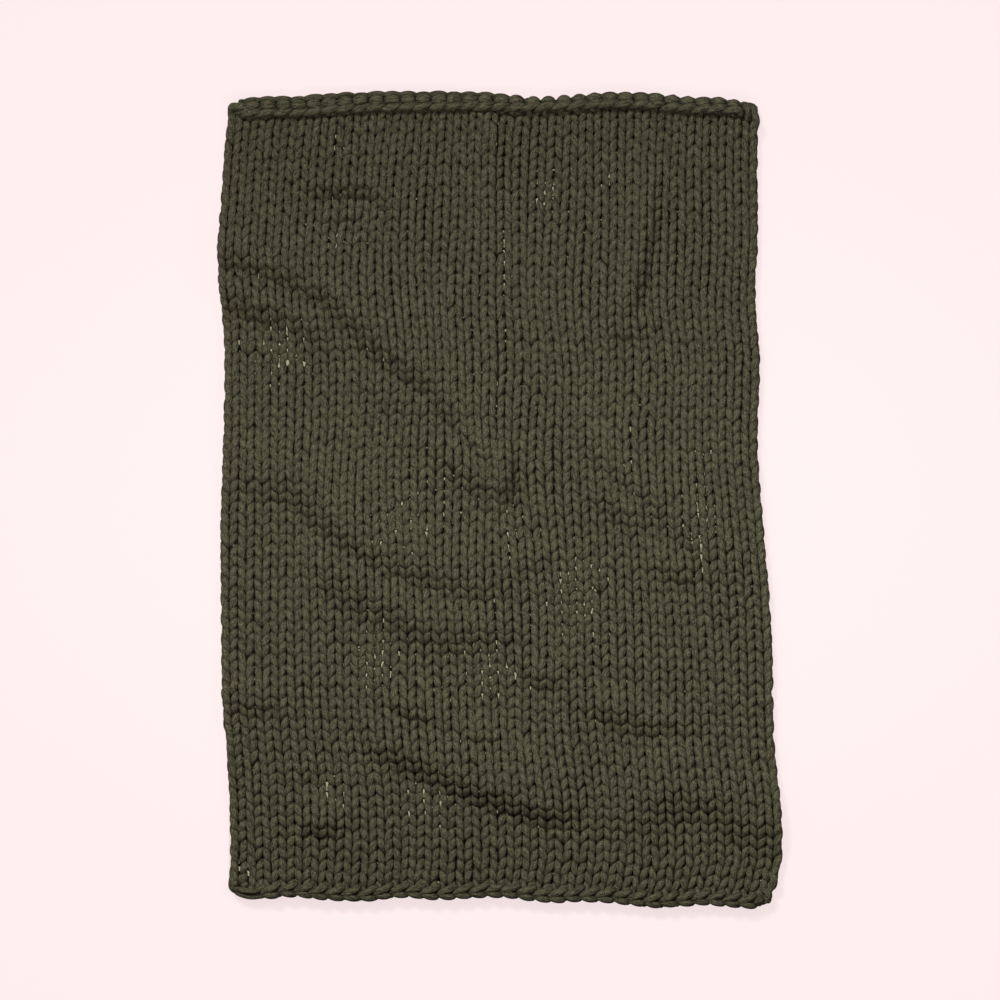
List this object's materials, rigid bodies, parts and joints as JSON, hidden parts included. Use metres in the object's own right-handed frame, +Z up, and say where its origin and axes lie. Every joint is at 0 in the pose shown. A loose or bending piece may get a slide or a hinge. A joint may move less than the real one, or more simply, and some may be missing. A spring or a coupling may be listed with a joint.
{
  "type": "chunky knit weighted blanket",
  "caption": "Chunky hand-knit weighted blanket in thick soft yarn, lying flat with soft folds, a curled cast-on edge and a chained bind-off edge.",
  "frame": {"origin": "under the middle of the blanket, on the surface that it lies on", "axes": "+Z up off the surface, +Y along the blanket towards the curled cast-on edge, +X across it to the right"},
  "size_m": [1.28, 1.8568, 0.0862],
  "materials": {
    "yarn": "matt, thick stuffed jersey tube yarn in dark olive"
  },
  "bodies": {
    "root": {"blanket": "yarn"}
  },
  "joints": []
}
